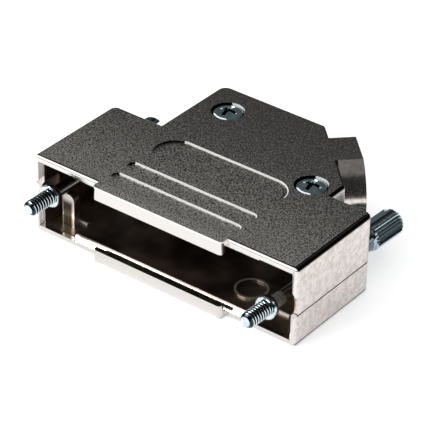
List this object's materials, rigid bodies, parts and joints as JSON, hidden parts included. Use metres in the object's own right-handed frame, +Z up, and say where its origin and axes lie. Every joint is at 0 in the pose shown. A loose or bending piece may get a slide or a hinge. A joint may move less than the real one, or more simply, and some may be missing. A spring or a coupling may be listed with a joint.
{
  "type": "d-sub hood",
  "caption": "Nickel-plated die-cast connector hood with an angled round cable exit, an open mouth for a D-shaped connector and captive knurled thumbscrews.",
  "frame": {"origin": "middle of the connector opening in the hood's front plane, halfway between the two thumbscrews and at half the housing's height", "axes": "+X along the connector's long side to the right as the cable exit leans, +Y from the mouth towards the cable, +Z up through the face that carries the housing screws' heads"},
  "size_m": [0.0554, 0.0512, 0.0157],
  "materials": {
    "shell_nickel": "satin nickel plate over a zinc die casting, fine grained on top",
    "screw_zinc": "bright zinc plate with a cross recess",
    "nut_steel": "zinc plate",
    "thumbscrew_nickel": "nickel plate, turned, straight knurl",
    "washer_dark": "dark spring steel",
    "clamp_steel": "pressed steel, zinc plate"
  },
  "bodies": {
    "housing": {"upper_shell": "shell_nickel", "lower_shell": "shell_nickel", "housing_screw_left": "screw_zinc", "housing_screw_right": "screw_zinc", "housing_nut_left": "nut_steel", "housing_nut_right": "nut_steel", "clamp_saddle_upper": "clamp_steel", "clamp_saddle_lower": "clamp_steel", "clamp_screw_left": "screw_zinc", "clamp_screw_right": "screw_zinc"},
    "washer_left": {"retaining_washer_left": "washer_dark"},
    "screw_left": {"thumbscrew_left": "thumbscrew_nickel"},
    "washer_right": {"retaining_washer_right": "washer_dark"},
    "screw_right": {"thumbscrew_right": "thumbscrew_nickel"}
  },
  "joints": [
    {"name": "slide_left", "type": "slide", "parent": "housing", "child": "washer_left", "axis": [0, 1, 0], "range_m": [-0.0015, 0.0032]},
    {"name": "turn_left", "type": "hinge", "parent": "washer_left", "child": "screw_left", "pos_m": [-0.02352, 0, 0.0013], "axis": [0, 1, 0], "continuous": true},
    {"name": "slide_right", "type": "slide", "parent": "housing", "child": "washer_right", "axis": [0, 0.9985, -0.0541], "range_m": [-0.0039, 0.0087]},
    {"name": "turn_right", "type": "hinge", "parent": "washer_right", "child": "screw_right", "pos_m": [0.02352, -0.0027, -0.00015], "axis": [0, 0.9985, -0.0541], "continuous": true}
  ]
}
